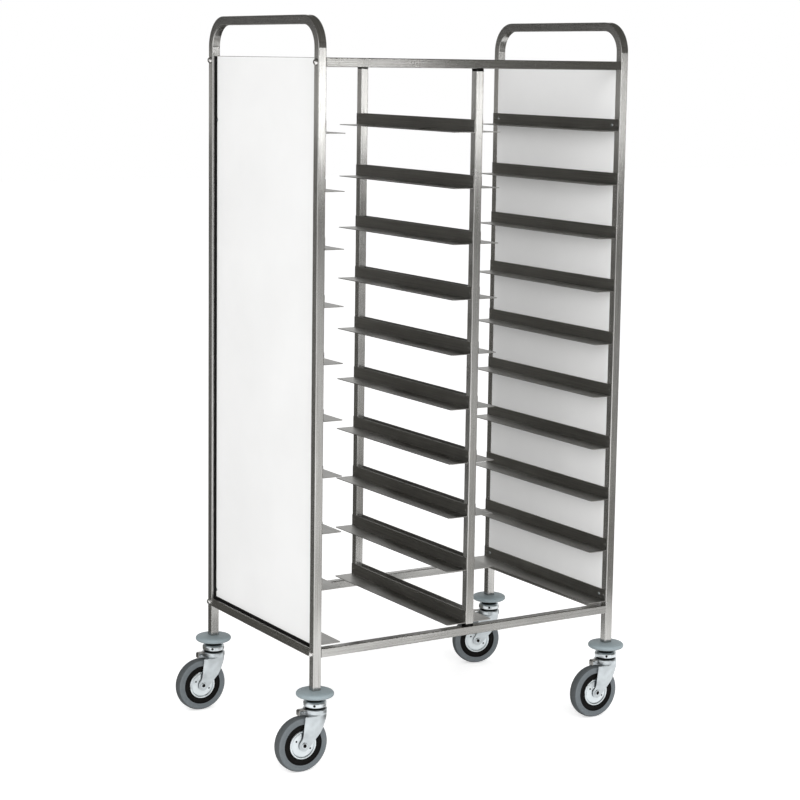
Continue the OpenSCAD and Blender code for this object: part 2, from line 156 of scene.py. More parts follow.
def bump(tree, shader, height, strength, distance):
    made = node(tree, "ShaderNodeBump", Strength=strength, Distance=distance)
    tree.links.new(height, made.inputs["Height"])
    tree.links.new(made.outputs["Normal"], shader.inputs["Normal"])


def maths(tree, operation, first, second=None):
    made = node(tree, "ShaderNodeMath", operation=operation)
    for socket, value in zip(made.inputs, (first, second)):
        if isinstance(value, (int, float)):
            socket.default_value = value
        elif value is not None:
            tree.links.new(value, socket)
    return made.outputs[0]


def grain(tree, along):
    """Fine brushed lines along X, Y or Z."""
    stretch = [LINES_ACROSS, LINES_ACROSS, LINES_ACROSS]
    stretch["XYZ".index(along)] = LINES_ALONG
    return noise(tree, stretch, 1.0, 2.0)


def bent_grain(tree):
    """Brushed lines that follow a side tube: up its legs, round its bends and along its handle."""
    coords = node(tree, "ShaderNodeTexCoord")
    split = node(tree, "ShaderNodeSeparateXYZ")
    tree.links.new(coords.outputs["Object"], split.inputs[0])
    x, y, z = split.outputs
    out = maths(tree, "SUBTRACT", maths(tree, "ABSOLUTE", y), BEND_Y)
    out = maths(tree, "POWER", maths(tree, "MAXIMUM", out, 0.0), 2.0)
    over = maths(tree, "SUBTRACT", z, BEND_Z)
    over = maths(tree, "POWER", maths(tree, "MAXIMUM", over, 0.0), 2.0)
    across = maths(tree, "SQRT", maths(tree, "ADD", out, over))
    lengthwise = maths(tree, "ADD", y, z)
    lines = node(tree, "ShaderNodeCombineXYZ")
    scales = (LINES_ACROSS, LINES_ACROSS, LINES_ALONG)
    for source, scale, socket in zip((x, across, lengthwise), scales, lines.inputs):
        tree.links.new(maths(tree, "MULTIPLY", source, scale), socket)
    made = node(tree, "ShaderNodeTexNoise", Scale=1.0, Detail=2.0, Roughness=0.55)
    tree.links.new(lines.outputs[0], made.inputs["Vector"])
    return made.outputs["Fac"]


# ---- Materials ----

def brushed(name, along, dark, light, rough, bent=False):
    """Satin stainless: fine lines along the piece, broad cloudy patches and handling smudges."""
    mat, tree, shader = material(name)
    lines = bent_grain(tree) if bent else grain(tree, along)
    patches = noise(tree, EVEN, 9.0, 4.0)
    colour = blend_colour(tree, spread(tree, lines, 0.3, 0.7, 0, 1), dark, light)
    shade = ramp(tree, patches, [(0.3, (0.88, 0.88, 0.88)), (0.7, (1, 1, 1))])
    colour = blend_colour(tree, 1.0, colour, shade, "MULTIPLY")
    tree.links.new(colour, shader.inputs["Base Color"])
    shader.inputs["Metallic"].default_value = 1.0
    shader.inputs["Anisotropic"].default_value = 0.95
    around = node(tree, "ShaderNodeTangent", direction_type="RADIAL", axis=along)
    tree.links.new(around.outputs[0], shader.inputs["Tangent"])
    smudges = noise(tree, EVEN, 24.0, 5.0, 0.65)
    smudged = spread(tree, smudges, 0.3, 0.75, rough - 0.015, rough + 0.02)
    tree.links.new(smudged, shader.inputs["Roughness"])
    bump(tree, shader, lines, 0.05, 0.0002)
    return mat


def zinc_plate(name, colour, rough, bloom=0.10):
    """Bright zinc: a faint cloudy bloom and small pits."""
    mat, tree, shader = material(name)
    cloud = noise(tree, EVEN, 45.0, 3.0)
    pits = noise(tree, EVEN, 900.0, 2.0)
    dull = tuple(c * (1 - bloom) for c in colour)
    clouded = blend_colour(tree, spread(tree, cloud, 0.35, 0.7, 0, 1), colour, dull)
    tree.links.new(clouded, shader.inputs["Base Color"])
    shader.inputs["Metallic"].default_value = 1.0
    tree.links.new(spread(tree, cloud, 0.3, 0.7, rough, rough + 0.06), shader.inputs["Roughness"])
    bump(tree, shader, pits, 0.05, 0.0001)
    return mat


def moulded(name, colour, rough, grime, gloss=0.5):
    """Rubber or plastic with a fine moulded grain, and dust in broad patches."""
    mat, tree, shader = material(name)
    fine = noise(tree, EVEN, 600.0, 2.0)
    patches = noise(tree, EVEN, 38.0, 5.0, 0.6)
    shade = tuple(c * 0.84 for c in colour)
    body = blend_colour(tree, spread(tree, fine, 0.3, 0.7, 0, 1), shade, colour)
    dusty = blend_colour(tree, spread(tree, patches, 0.5, 0.8, 0, 0.35), body, grime)
    tree.links.new(dusty, shader.inputs["Base Color"])
    tree.links.new(spread(tree, patches, 0.3, 0.8, rough, rough + 0.12), shader.inputs["Roughness"])
    shader.inputs["Specular IOR Level"].default_value = gloss
    bump(tree, shader, fine, 0.15, 0.0004)
    return mat


def laminate(name):
    """White board: a faint mottle and a very shallow orange-peel surface."""
    mat, tree, shader = material(name)
    mottle = noise(tree, EVEN, 6.0, 5.0)
    peel = noise(tree, EVEN, 420.0, 2.0)
    whites = ramp(tree, mottle, [(0.3, (0.86, 0.86, 0.855)), (0.7, (0.89, 0.89, 0.885))])
    tree.links.new(whites, shader.inputs["Base Color"])
    tree.links.new(spread(tree, mottle, 0.3, 0.7, 0.38, 0.48), shader.inputs["Roughness"])
    shader.inputs["Specular IOR Level"].default_value = 0.25
    bump(tree, shader, peel, 0.05, 0.0003)
    return mat


def dress(names, mat):
    for name in names:
        mesh = nodes[name].data
        mesh.materials.clear()
        mesh.materials.append(mat)


def make_materials():
    dark, light, rough = (0.38, 0.375, 0.36), (0.58, 0.575, 0.56), 0.26
    # The guides are the same stainless as the tubes, made darker as painted shade inside the bays
    guide_dark, guide_light, guide_rough = (0.30, 0.295, 0.28), (0.42, 0.415, 0.395), 0.35
    mats = {
        "steel_x": brushed("steel_x", "X", dark, light, rough),
        "steel_y": brushed("steel_y", "Y", dark, light, rough),
        "steel_z": brushed("steel_z", "Z", dark, light, rough),
        "steel_bent": brushed("steel_bent", "Z", dark, light, rough, bent=True),
        "guide_steel": brushed("guide_steel", "Y", guide_dark, guide_light, guide_rough),
        "bolt": zinc_plate("bolt", (0.66, 0.65, 0.635), 0.12, 0.2),
        # Dull zinc for the guide rivets, and a darker zinc for the fork tab as painted shade
        "dull_zinc_and_shaded_tab": zinc_plate("dull_zinc_and_shaded_tab", (0.34, 0.335, 0.32), 0.34),
        "zinc": zinc_plate("zinc", (0.67, 0.715, 0.735), 0.26),
        # The fork's zinc: the same plating as the zinc, made darker as painted shade on the fork
        "fork_zinc": zinc_plate("fork_zinc", (0.56, 0.60, 0.62), 0.30, 0.2),
        "board": laminate("board"),
        "black": moulded("black", (0.005, 0.0047, 0.0045), 0.5, (0.018, 0.018, 0.018), 0.06),
        "bumper": moulded("bumper", (0.27, 0.325, 0.345), 0.50, (0.36, 0.39, 0.40)),
        "tyre": moulded("tyre", (0.135, 0.152, 0.163), 0.58, (0.22, 0.23, 0.235), 0.3),
        "tread": moulded("tread", (0.078, 0.086, 0.09), 0.66, (0.14, 0.14, 0.138), 0.2),
    }
    dress(["left_side_tube", "right_side_tube"], mats["steel_bent"])
    dress(["front_centre_post", "rear_centre_post"], mats["steel_z"])
    dress(["front_top_rail", "rear_top_rail", "front_bottom_rail", "rear_bottom_rail"],
          mats["steel_x"])
    dress(["left_bottom_rail", "right_bottom_rail"], mats["steel_y"])
    dress(["tray_guides_%02d" % i for i in range(1, 11)], mats["guide_steel"])
    dress(["left_panel", "right_panel"], mats["board"])
    dress(["centre_post_screws", "panel_screws"], mats["zinc"])
    dress(["frame_bolts"], mats["bolt"])
    dress(["guide_rivets"], mats["dull_zinc_and_shaded_tab"])
    dress(["centre_post_caps", "rail_end_plugs"], mats["black"])
    caster = {"stem": "zinc", "bumper": "bumper", "head": "zinc", "fork": "zinc",
              "axle": "zinc", "rim": "black", "covers": "zinc", "tyre": "tyre"}
    for kind, mat in caster.items():
        dress([kind + "_" + corner for corner in CORNERS], mats[mat])
    return mats


# ---- Mesh tools ----

# Shorter than this, in mm, a side counts as nothing
NOTHING = 1e-9
# The largest share of a side that one fillet may take up
SIDE_SHARE = 0.49
# Corners this near to straight, in radians, get no fillet
NEARLY_STRAIGHT = 0.02


def rounded(points, steps=4):
    """Closed outline of (x, y, fillet) corners, each turned into an arc of that radius."""
    made = []
    for i, (x, y, fillet) in enumerate(points):
        here = Vector((x, y))
        before = Vector(points[i - 1][:2]) - here
        after = Vector(points[(i + 1) % len(points)][:2]) - here
        if fillet <= 0 or before.length < NOTHING or after.length < NOTHING:
            made.append((x, y))
            continue
        u, v = before.normalized(), after.normalized()
        half = math.acos(max(-1, min(1, u.dot(v)))) / 2
        if abs(half - math.pi / 2) < NEARLY_STRAIGHT:
            made.append((x, y))
            continue
        reach = min(fillet / math.tan(half), SIDE_SHARE * before.length, SIDE_SHARE * after.length)
        radius = reach * math.tan(half)
        centre = here + (u + v).normalized() * (radius / math.sin(half))
        start, end = here + u * reach - centre, here + v * reach - centre
        turn = start.angle_signed(end)
        for k in range(steps + 1):
            spoke = start.copy()
            spoke.rotate(Matrix.Rotation(-turn * k / steps, 2))
            made.append(tuple(centre + spoke))
    return made


def mirrored(half):
    """The (radius, height, fillet) corners of the other half, in the order that goes on."""
    return [(r, -z, fillet) for r, z, fillet in half[::-1]]


def finished(bm, name, mat, sharp=35.0):
    """A clean, smooth-shaded mesh with edges over the given angle kept sharp."""
    bmesh.ops.remove_doubles(bm, verts=bm.verts, dist=1e-7)
    bmesh.ops.recalc_face_normals(bm, faces=bm.faces)
    mesh = bpy.data.meshes.new(name)
    bm.to_mesh(mesh)
    bm.free()
    mesh.shade_smooth()
    mesh.set_sharp_from_angle(angle=math.radians(sharp))
    mesh.materials.append(mat)
    return mesh


def lathe(bm, outline, segments=96, place=Matrix()):
    """Turns a closed outline of (radius, height), in mm, round Z."""
    on_axis = 1e-6
    rings = []
    for k in range(segments):
        angle = 2 * math.pi * k / segments
        ring = []
        for r, z in outline:
            point = Vector((r * MM * math.cos(angle), r * MM * math.sin(angle), z * MM))
            ring.append(bm.verts.new(place @ point))
        rings.append(ring)
    for k in range(segments):
        one, two = rings[k], rings[(k + 1) % segments]
        for i in range(len(outline)):
            j = (i + 1) % len(outline)
            if outline[i][0] < on_axis and outline[j][0] < on_axis:
                continue
            if outline[i][0] < on_axis:
                bm.faces.new((one[i], two[j], one[j]))
            elif outline[j][0] < on_axis:
                bm.faces.new((one[i], two[i], one[j]))
            else:
                bm.faces.new((one[i], two[i], two[j], one[j]))


def drilled(mesh, places, radius, depth, dark):
    """The mesh with a hole along Z of each place, a matrix; the holes' walls are painted dark as
    the shade inside them.
    """
    drill = bmesh.new()
    for place in places:
        bmesh.ops.create_cone(drill, cap_ends=True, segments=24, radius1=radius, radius2=radius,
                              depth=depth, matrix=place)
    tool = bpy.data.objects.new("drill", finished(drill, "drill", dark))
    plain = bpy.data.objects.new("plain", mesh)
    for obj in (tool, plain):
        scene.collection.objects.link(obj)
    cut = plain.modifiers.new("cut", "BOOLEAN")
    cut.operation, cut.solver, cut.object = "DIFFERENCE", "EXACT", tool
    # Painted shade: the holes' walls take the dark material
    cut.material_mode = "TRANSFER"
    graph = bpy.context.evaluated_depsgraph_get()
    made = bpy.data.meshes.new_from_object(plain.evaluated_get(graph))
    for obj in (tool, plain):
        bpy.data.objects.remove(obj)
    made.set_sharp_from_angle(angle=math.radians(35))
    return made


# ---- Casters, drawn in mm with the swivel axis on Z, the floor at 0 and the wheel towards -X ----

WHEEL_R, AXLE_X, KINGPIN_BORE_R = 62.5, -35.0, 5.1
# The fork: its cup under the head, the skirt of the cup, and the outside of its cheeks
CUP_R, CUP_TOP, CUP_FILLET = 27.0, 140.5, 3.0
SKIRT = CUP_TOP - 11
CHEEK_Y, SHEET, BOSS_R = 18.5, 2.5, 13.0
# The cheeks are flat up to here, and swell towards the cup above it
FLAT_TO = 70.0
# Under these heights the trailing and the leading edge of a cheek follow its round end
BACK_ROUND, FRONT_ROUND = 67.0, 53.4
LEADING = [(129.5, 19.7), (120, 19.0), (108, 15.2), (97, 10.8), (86, 4.6), (74, -6.4),
           (62, -17.6), (53, -26.0)]
TRAILING = [(129.5, -19.7), (128.4, -31.2), (118, -33.6), (104, -35.8), (90, -37.2),
            (81, -38.4), (76, -40.6), (72, -44.0), (67, -47.2)]
ROUNDING = 0.5


def at_axle():
    """Wheel pieces are turned round Z, then laid on the axle with their front face towards -Y."""
    quarter = Matrix.Rotation(math.radians(90), 4, "X")
    return Matrix.Translation((AXLE_X * MM, 0, WHEEL_R * MM)) @ quarter


def through(points, value):
    """Smooth curve through (z, x) points, read at z = value."""
    points = sorted(points)
    if value <= points[0][0]:
        return points[0][1]
    for i in range(len(points) - 1):
        (z0, x0), (z1, x1) = points[i], points[i + 1]
        if value <= z1:
            t = (value - z0) / (z1 - z0)
            before = points[i - 1] if i > 0 else (2 * z0 - z1, 2 * x0 - x1)
            after = points[i + 2] if i + 2 < len(points) else (2 * z1 - z0, 2 * x1 - x0)
            m0 = (x1 - before[1]) / (z1 - before[0]) * (z1 - z0)
            m1 = (after[1] - x0) / (after[0] - z0) * (z1 - z0)
            return ((2 * t**3 - 3 * t**2 + 1) * x0 + (t**3 - 2 * t**2 + t) * m0
                    + (3 * t**2 - 2 * t**3) * x1 + (t**3 - t**2) * m1)
    return points[-1][1]


def leg_limits(z):
    """Trailing and leading edge of a cheek at a height."""
    chord = math.sqrt(max(0, BOSS_R ** 2 - (z - WHEEL_R) ** 2))
    back = AXLE_X - chord if z < BACK_ROUND else through(TRAILING, z)
    front = AXLE_X + chord if z < FRONT_ROUND else through(LEADING, z)
    return back, front


def cheek_heights():
    """Heights of the rows of a cheek, from the skirt to the tip of the round end."""
    straight = [128.6, 127, 124, 120, 116, 112, 107, 101, 95, 89, 84, 80, 76.5, 73, 70, 67, 63,
                59, 56, 53.4]
    return straight + [WHEEL_R - BOSS_R * math.sin(math.radians(turn))
                       for turn in (51, 60, 68, 75, 81, 86)]


def fork_mesh(mat):
    """The outside of the pressed fork: the cup, its skirt, and two cheeks that grow out of it."""
    bm = bmesh.new()
    count = 96
    # A cheek takes its top row from these points of the skirt, counted from its middle
    first, last = -12, 13
    bends = [math.radians(turn) for turn in (90, 72, 54, 36, 18, 0)]
    shoulder = [(CUP_R - CUP_FILLET + CUP_FILLET * math.cos(a),
                 CUP_TOP - CUP_FILLET + CUP_FILLET * math.sin(a)) for a in bends]
    cup = ([(KINGPIN_BORE_R, CUP_TOP), (15, CUP_TOP)] + shoulder
           + [(CUP_R, SKIRT + 4), (CUP_R, SKIRT)])
    rings = []
    for r, z in cup:
        rings.append([bm.verts.new((r * MM * math.cos(2 * math.pi * (k + 0.5) / count),
                                    r * MM * math.sin(2 * math.pi * (k + 0.5) / count), z * MM))
                      for k in range(count)])
    for upper, lower in zip(rings, rings[1:]):
        for k in range(count):
            after = (k + 1) % count
            bm.faces.new((upper[k], lower[k], lower[after], upper[after]))
    for side in (-1, 1):
        middle = count * (0.75 if side < 0 else 0.25) - 0.5
        upper = [rings[-1][int(middle + k) % count] for k in range(first, last + 1)]
        if side > 0:
            upper = upper[::-1]
        across = [v.co.x / MM for v in upper]
        low, high = across[0], across[-1]
        for z in cheek_heights():
            back, front = leg_limits(z)
            up_cheek = min(1, max(0, (z - FLAT_TO) / (SKIRT - FLAT_TO)))
            share = math.sin(math.pi / 2 * up_cheek)
            lower = []
            for x in across:
                here = back + (front - back) * ((x - low) / (high - low))
                bulge = math.sqrt(max(0, CUP_R ** 2 - x ** 2)) - CHEEK_Y
                y = side * (CHEEK_Y + share * max(0, bulge))
                lower.append(bm.verts.new((here * MM, y * MM, z * MM)))
            for k in range(len(across) - 1):
                bm.faces.new((upper[k], lower[k], lower[k + 1], upper[k + 1]))
            upper = lower
    return finished(bm, "fork", mat, 50)


def tab_mesh(mat):
    """The narrow tab behind the cup, bent down over the tyre, in a darker zinc that is painted
    shade on the fork's own zinc.
    """
    half_width = 6.5
    outline = rounded([(-24, 140.2, 0), (-43.5, 140.2, 4), (-43.5, 127.5, 1), (-41, 127.5, 1),
                       (-41, 137.7, 1.6), (-24, 137.7, 0)])
    bm = bmesh.new()
    near = [bm.verts.new((x * MM, -half_width * MM, z * MM)) for x, z in outline]
    far = [bm.verts.new((x * MM, half_width * MM, z * MM)) for x, z in outline]
    bm.faces.new(near)
    bm.faces.new(far[::-1])
    for k in range(len(near)):
        bm.faces.new((near[k - 1], near[k], far[k], far[k - 1]))
    return finished(bm, "fork_tab", mat)


def tyre_mesh(mat, tread):
    """The tyre, with a shallow groove in each side and a darker tread."""
    tread_half, tread_from = 11.6, 56.0
    half = [(46.5, 12.0, 0), (46.5, 13.0, 0.8), (50.2, 13.0, 0.4), (50.6, 12.5, 0.3),
            (51.2, 12.5, 0.3), (51.6, 13.0, 0.4), (57.0, 12.9, 3.0), (60.6, 10.4, 3.5),
            (62.3, 5.0, 4.0)]
    crest = [(WHEEL_R, 0, 0)]
    outline = rounded(half + crest + mirrored(half), 3)
    bm = bmesh.new()
    lathe(bm, outline, 128, at_axle())
    mesh = finished(bm, "tyre", mat, 40)
    mesh.materials.append(tread)
    centre = at_axle().translation
    for face in mesh.polygons:
        away = (face.center - centre).length
        if abs(face.center.y) < tread_half * MM and away > tread_from * MM:
            face.material_index = 1
    return mesh


def rim_mesh(mat):
    """The black rim: a hub, a web and the rim that the tyre sits on."""
    half = [(4.1, 15.6, 0), (8.6, 15.6, 0.6), (8.8, 12.0, 0.3), (11.9, 12.0, 0.3), (12.0, 3.2, 1.0),
            (33.3, 3.2, 1.0), (33.4, 11.6, 0.5), (35.4, 12.0, 0.4), (36.2, 11.0, 0.4),
            (43.2, 11.0, 0.4), (44.0, 12.0, 0.4), (46.4, 12.0, 0.3)]
    bm = bmesh.new()
    lathe(bm, rounded(half + mirrored(half), 3), 96, at_axle())
    return finished(bm, "rim", mat)


def cover_mesh(mat, dark):
    """Both pressed covers: a bright rolled rim, a groove and a shallow dish with two holes, whose
    walls are painted dark as shade.
    """
    hole_r, hole_from_axle, right_through = 2.2, 20, 60
    turns = [math.radians(turn) for turn in range(-10, 181, 15)]
    rim = [(30.4 + 2.6 * math.cos(a), 11.0 + 2.2 * math.sin(a)) for a in turns]
    dish = rounded([(27.4, 11.0, 0.3), (26.6, 11.6, 0.8), (15.5, 13.2, 2.0), (13.6, 14.0, 0.8),
                    (9.2, 14.0, 0.3), (9.2, 12.0, 0), (12.4, 12.0, 0.5), (14.4, 11.4, 1.0),
                    (26.0, 10.0, 1.0), (31.0, 9.6, 0)], 3)
    bm = bmesh.new()
    for flip in (Matrix(), Matrix.Diagonal((1, 1, -1, 1))):
        lathe(bm, rim + dish, 96, at_axle() @ flip)
    out = Matrix.Translation((hole_from_axle * MM, 0, 0))
    holes = [at_axle() @ Matrix.Rotation(math.radians(turn), 4, "Z") @ out for turn in (150, 330)]
    plain = finished(bm, "covers_plain", mat)
    return drilled(plain, holes, hole_r * MM, right_through * MM, dark)


def axle_mesh(mat, dark):
    """The axle: a rolled hollow end on the front cheek, the shaft, and a nut on the rear cheek; the
    pit of the hollow end is painted dark as shade.
    """
    pit_r, pit_floor, pit_rim = 4.3, 18.6, 20.1
    nut_r, nut_h, nut_at = 7.4, 4.6, -20.8
    bm = bmesh.new()
    outline = rounded([(0, 18.5, 0), (6.8, 18.5, 0), (6.8, 19.4, 0.6), (5.6, 20.4, 0.7),
                       (4.4, 20.2, 0.4), (3.9, 18.9, 0.2), (0, 18.8, 0), (0, 16.8, 0),
                       (3.9, 16.8, 0), (3.9, 18.5, 0)], 4)
    lathe(bm, outline[1:] + [(6.8, 18.5)], 48, at_axle())
    shaft = [(0, -23.5), (3.6, -23.5), (3.95, -23.1), (3.95, 16.8), (0, 16.8)]
    lathe(bm, shaft, 48, at_axle())
    nut = bmesh.ops.create_cone(bm, cap_ends=True, segments=6, radius1=nut_r * MM,
                                radius2=nut_r * MM, depth=nut_h * MM,
                                matrix=at_axle() @ Matrix.Translation((0, 0, nut_at * MM)))
    edges = list({e for v in nut["verts"] for e in v.link_edges})
    bmesh.ops.bevel(bm, geom=edges, offset=ROUNDING * MM, segments=2, affect="EDGES", profile=0.5)
    mesh = finished(bm, "axle", mat)
    # Painted shade: the faces in the pit of the hollow end are dark
    mesh.materials.append(dark)
    centre = at_axle().translation
    for face in mesh.polygons:
        away = face.center - centre
        if math.hypot(away.x, away.z) < pit_r * MM and -pit_rim * MM < away.y < -pit_floor * MM:
            face.material_index = 1
    return mesh


def head_mesh(mat, dark):
    """Swivel head: a race painted dark as the shade in its gap, under a bright ring with rounded
    shoulders and a grease hole.
    """
    race_top = 144.5
    hole_r, hole_depth, hole_z, hole_turn = 2.9, 6, 149.8, -121
    outline = rounded([(KINGPIN_BORE_R, 140.8, 0), (22.4, 140.8, 0.4), (22.4, 144.4, 0.2),
                       (25.2, 144.4, 0.6), (26.0, 146.0, 0.9), (26.0, 152.6, 3.0),
                       (23.6, 156.8, 2.6), (18.5, 157.5, 1.0), (KINGPIN_BORE_R, 157.5, 0)], 4)
    bm = bmesh.new()
    lathe(bm, outline)
    mesh = finished(bm, "head", mat)
    mesh.materials.append(dark)
    # Painted shade: the race under the ring takes the dark material
    for face in mesh.polygons:
        if face.center.z < race_top * MM:
            face.material_index = 1
    hole = (Matrix.Rotation(math.radians(hole_turn), 4, "Z")
            @ Matrix.Translation((26 * MM, 0, hole_z * MM))
            @ Matrix.Rotation(math.radians(90), 4, "Y"))
    return drilled(mesh, [hole], hole_r * MM, hole_depth * MM, dark)


# The black neck between head and bumper: a black collar whose black stands mostly for painted shade
# under the bumper.
def neck_mesh(mat):
    outline = rounded([(KINGPIN_BORE_R, 157.5, 0), (18.8, 157.5, 0), (19.2, 161.0, 1.4),
                       (17.4, 165.5, 0.4), (KINGPIN_BORE_R, 165.5, 0)], 4)
    bm = bmesh.new()
    lathe(bm, outline, 64)
    return finished(bm, "neck", mat)


def bumper_mesh(mat):
    outline = rounded([(KINGPIN_BORE_R, 165.5, 0), (30, 165.6, 5), (42.5, 167.0, 6),
                       (42.5, 176.8, 6), (30, 179.1, 8), (17.5, 179.3, 2), (15.6, 179.5, 0.6),
                       (KINGPIN_BORE_R, 179.5, 0)], 6)
    bm = bmesh.new()
    lathe(bm, outline, 96)
    return finished(bm, "bumper", mat, 60)


def round_edges(obj):
    bevel = obj.modifiers.new("rounding", "BEVEL")
    bevel.width = ROUNDING * MM
    bevel.segments = 2
    bevel.limit_method = "ANGLE"
    bevel.angle_limit = math.radians(60)


def solid_sheet(obj, thickness):
    """Gives a surface its sheet thickness, inwards."""
    thick = obj.modifiers.new("thickness", "SOLIDIFY")
    thick.thickness = thickness
    thick.offset = -1
    thick.use_even_offset = True


def add_piece(name, mesh, place, body, slot, *replaced):
    obj = bpy.data.objects.new(name, mesh)
    obj.matrix_world = place
    scene.collection.objects.link(obj)
    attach(obj, body)
    if replaced:
        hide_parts(*replaced)
    return obj


def add_casters(mats):
    """The four casters; each node of the CAD model gives its place to the piece that shows it."""
    joints = {joint["name"]: joint for joint in frame["joints"]}
    fork = fork_mesh(mats["fork_zinc"])
    # Painted shade: the tab is the fork's zinc, made darker; the guide rivets' dull zinc is their
    # own
    tab = tab_mesh(mats["dull_zinc_and_shaded_tab"])
    tyre = tyre_mesh(mats["tyre"], mats["tread"])
    rim = rim_mesh(mats["black"])
    covers = cover_mesh(mats["zinc"], mats["black"])
    axle = axle_mesh(mats["zinc"], mats["black"])
    head = head_mesh(mats["zinc"], mats["black"])
    neck = neck_mesh(mats["black"])
    bumper = bumper_mesh(mats["bumper"])
    for corner in CORNERS:
        stem = Vector(joints["swivel_turn_" + corner]["pos_m"])
        wheel = Vector(joints["wheel_spin_" + corner]["pos_m"])
        back = wheel - stem
        place = Matrix.Translation((stem.x, stem.y, 0))
        turned = place @ Matrix.Rotation(math.atan2(-back.y, -back.x), 4, "Z")
        swivel, spin = "swivel_" + corner, "wheel_" + corner
        sheet = add_piece("fork_sheet_" + corner, fork, turned, swivel, "zinc", "fork_" + corner)
        solid_sheet(sheet, SHEET * MM)
        round_edges(sheet)
        round_edges(add_piece("fork_tab_" + corner, tab, turned, swivel, "zinc"))
        add_piece("axle_bolt_" + corner, axle, turned, swivel, "zinc", "axle_" + corner)
        add_piece("tyre_ring_" + corner, tyre, turned, spin, "tyre_rubber", "tyre_" + corner)
        add_piece("rim_ring_" + corner, rim, turned, spin, "black_plastic", "rim_" + corner)
        add_piece("cover_discs_" + corner, covers, turned, spin, "zinc", "covers_" + corner)
        add_piece("head_ring_" + corner, head, place, "frame", "zinc", "head_" + corner)
        # Painted shade in part: the black neck under the bumper
        add_piece("neck_" + corner, neck, place, "frame", "black_plastic")
        add_piece("bumper_disc_" + corner, bumper, place, "frame", "bumper_rubber",
                  "bumper_" + corner)


# ---- Bolts, and black strips of painted shade at the panels ----

def bolts_mesh(mat):
    """The eight domed bolts that hold the long rails, each with its shank through the post."""
    low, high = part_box("frame_bolts")
    tube_face = abs(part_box("left_side_tube")[0][0])
    head_r, head_h, shank_r, shank = 7.5, 7.0, 3.0, 30.0
    turns = [math.radians(turn) for turn in range(0, 91, 10)]
    dome = [((head_r - 0.5) * math.cos(a), 1 + (head_h - 1) * math.sin(a)) for a in turns]
    under_dome = [(0, -shank), (shank_r, -shank), (shank_r, 0), (head_r, 0), (head_r, 0.9),
                  (head_r - 0.3, 1.0)]
    bm = bmesh.new()
    for side in (-1, 1):
        turn = Matrix.Rotation(math.radians(90 * side), 4, "Y")
        for y in (low[1] + head_r * MM, high[1] - head_r * MM):
            for z in (low[2] + head_r * MM, high[2] - head_r * MM):
                place = Matrix.Translation((side * tube_face, y, z))
                lathe(bm, under_dome + dome, 32, place @ turn)
    return finished(bm, "bolts", mat)


def shade_strip_mesh(mat, side):
    """A black strip of painted shade on the outside of a panel, along the bottom rail and up both
    posts.
    """
    panel_low, panel_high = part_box(("left" if side < 0 else "right") + "_panel")
    face = panel_low[0] if side < 0 else panel_high[0]
    thick, wide = 4.4, 5.5
    profile = rounded([(0, 0, 0), (thick, 0, 0.8), (thick, 2.6, 1.6), (1.6, wide, 1.2),
                       (0, wide, 0)], 3)
    near, far, foot, top = panel_low[1], panel_high[1], panel_low[2], panel_high[2]
    # Each strip: where it starts, its direction, the direction of its width, and its length
    strips = (
        ((face, near, foot), (0, 1, 0), (0, 0, 1), far - near),
        ((face, near, foot), (0, 0, 1), (0, 1, 0), top - foot),
        ((face, far, foot), (0, 0, 1), (0, -1, 0), top - foot),
    )
    bm = bmesh.new()
    for start, along, across, length in strips:
        ends = []
        for reach in (0, length):
            base = Vector(start) + Vector(along) * reach
            ends.append([bm.verts.new(base + Vector((side * u * MM, 0, 0))
                                      + Vector(across) * v * MM) for u, v in profile])
        bm.faces.new(ends[0])
        bm.faces.new(ends[1][::-1])
        for k in range(len(profile)):
            bm.faces.new((ends[0][k - 1], ends[0][k], ends[1][k], ends[1][k - 1]))
    return finished(bm, "shade_strip", mat)


def add_frame_details(mats):
    add_piece("domed_bolts", bolts_mesh(mats["bolt"]), Matrix(), "frame", "zinc", "frame_bolts")
    for name, side in (("left", -1), ("right", 1)):
        # Painted shade: black strips where the seam between panel and tubes lies in shade
        add_piece("panel_shade_strip_" + name, shade_strip_mesh(mats["black"], side), Matrix(), "frame",
                  "black_plastic")


# ---- Studio ----

# Strengths at which the floor and the world light the object, and at which the camera,
# metal and glass see them as white
FLOOR_GLOW, FLOOR_WHITE = 0.0, 0.45
WORLD_GLOW, WORLD_WHITE = 0.69, 1.0
# Flags on the floor lie this far above it, in metres
ON_FLOOR = 0.001


def area_light(name, place, target, size, power):
    data = bpy.data.lights.new(name, "AREA")
    data.shape = "RECTANGLE"
    data.size, data.size_y = size
    data.energy = power
    light = bpy.data.objects.new(name, data)
    light.location = place
    aim = Vector(target) - Vector(place)
    light.rotation_euler = aim.to_track_quat("-Z", "Y").to_euler()
    scene.collection.objects.link(light)
    return light


def white_behind(tree, socket, plain, white):
    """Sets a strength: plain for diffuse light, white where the camera, metal or glass sees it."""
    path = node(tree, "ShaderNodeLightPath")
    reflected = maths(tree, "MAXIMUM", path.outputs["Is Glossy Ray"],
                      path.outputs["Is Transmission Ray"])
    seen = maths(tree, "MAXIMUM", path.outputs["Is Camera Ray"], reflected)
    tree.links.new(spread(tree, seen, 0, 1, plain, white), socket)


def card(name, colour):
    """Matt card for the flags."""
    mat, _, shader = material(name)
    shader.inputs["Base Color"].default_value = (*colour, 1)
    shader.inputs["Roughness"].default_value = 1.0
    shader.inputs["Specular IOR Level"].default_value = 0.0
    return mat


def flag(name, mat, *corners):
    """A studio flag, as on a photographer's set: only the metal's reflections show it."""
    mesh = bpy.data.meshes.new(name)
    mesh.from_pydata(corners, [], [(0, 1, 2, 3)])
    mesh.materials.append(mat)
    obj = bpy.data.objects.new(name, mesh)
    obj.visible_camera = obj.visible_diffuse = False
    obj.visible_shadow = obj.visible_transmission = False
    scene.collection.objects.link(obj)


